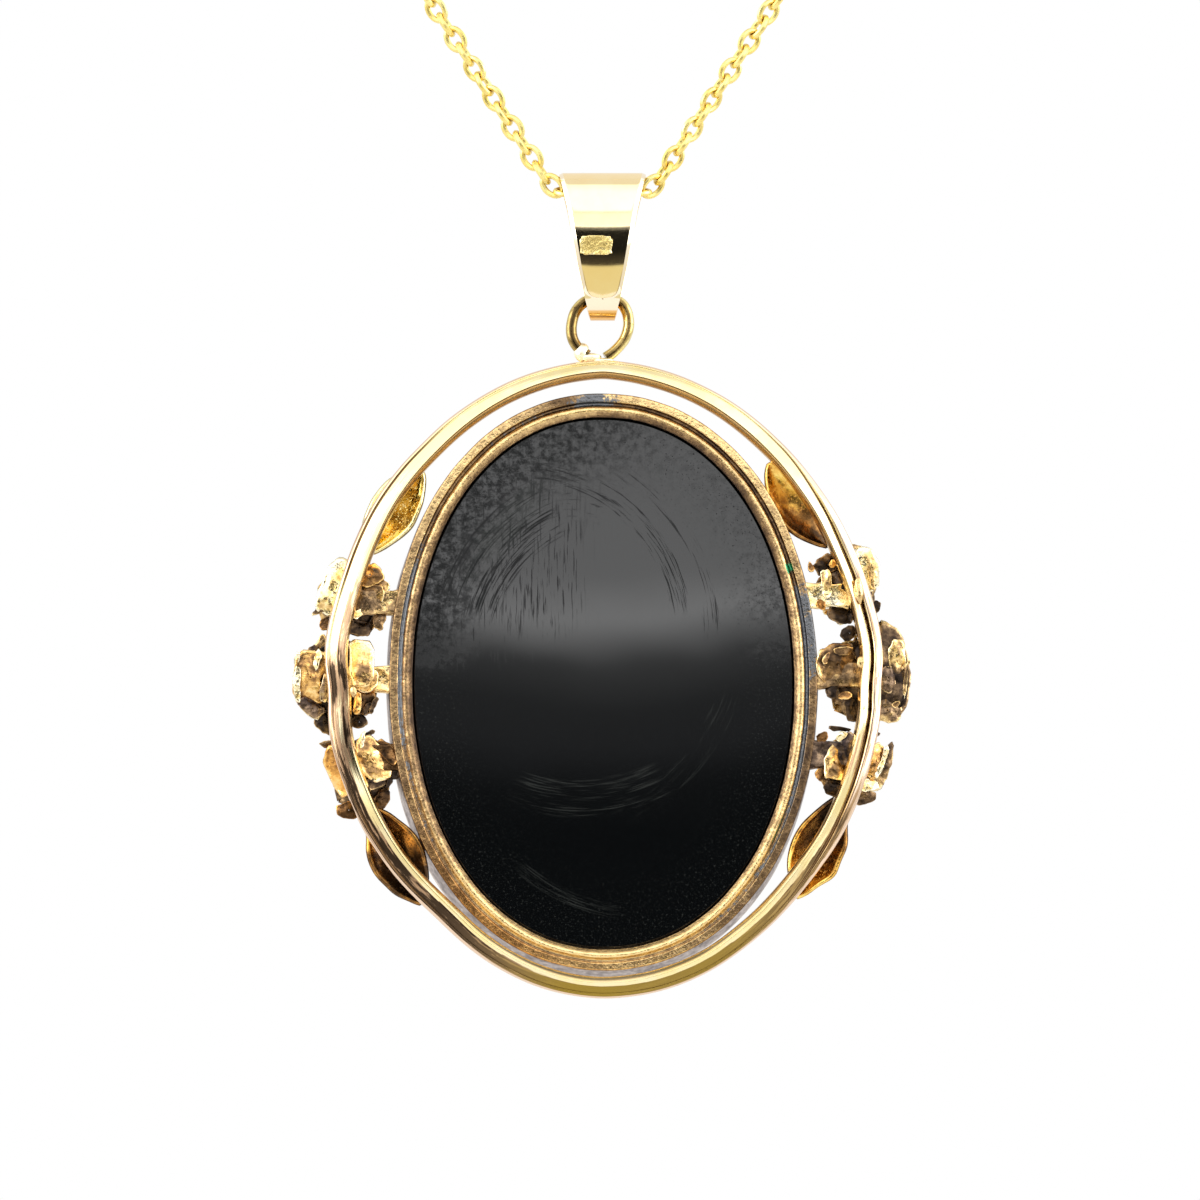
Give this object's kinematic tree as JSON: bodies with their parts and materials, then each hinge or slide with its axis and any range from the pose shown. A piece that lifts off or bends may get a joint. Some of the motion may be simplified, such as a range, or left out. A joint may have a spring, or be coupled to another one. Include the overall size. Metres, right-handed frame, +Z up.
{
  "type": "agate pendant on a trace chain",
  "caption": "Oval black agate pendant in a gold bezel with an outer band, side roses and leaves, on a hanging ring, a folded bail and a fine trace chain.",
  "frame": {"origin": "underside of the clasp at the top of the chain's loop, where it rests on the nape", "axes": "+Z up along the hanging pendant, +X across the loop, -Y towards the viewer of the pendant's plain back"},
  "size_m": [0.1168, 0.0076, 0.2155],
  "materials": {
    "chain_gold": "polished gold",
    "clasp_gold": "polished gold",
    "bail_gold": "polished gold",
    "setting_gold": "gold, tarnished brown in the hollows",
    "black_agate": "polished, scratched"
  },
  "bodies": {
    "chain": {"chain": "chain_gold", "clasp": "clasp_gold"},
    "bail": {"bail": "bail_gold"},
    "pendant": {"setting": "setting_gold", "stone": "black_agate"}
  },
  "joints": [
    {"name": "bail_swing", "type": "hinge", "parent": "chain", "child": "bail", "pos_m": [0, 0, -0.156], "axis": [1, 0, 0], "range_deg": [-90, 90]},
    {"name": "pendant_swing", "type": "hinge", "parent": "bail", "child": "pendant", "pos_m": [0, 0, -0.1631], "axis": [1, 0, 0], "range_deg": [-90, 90]}
  ]
}
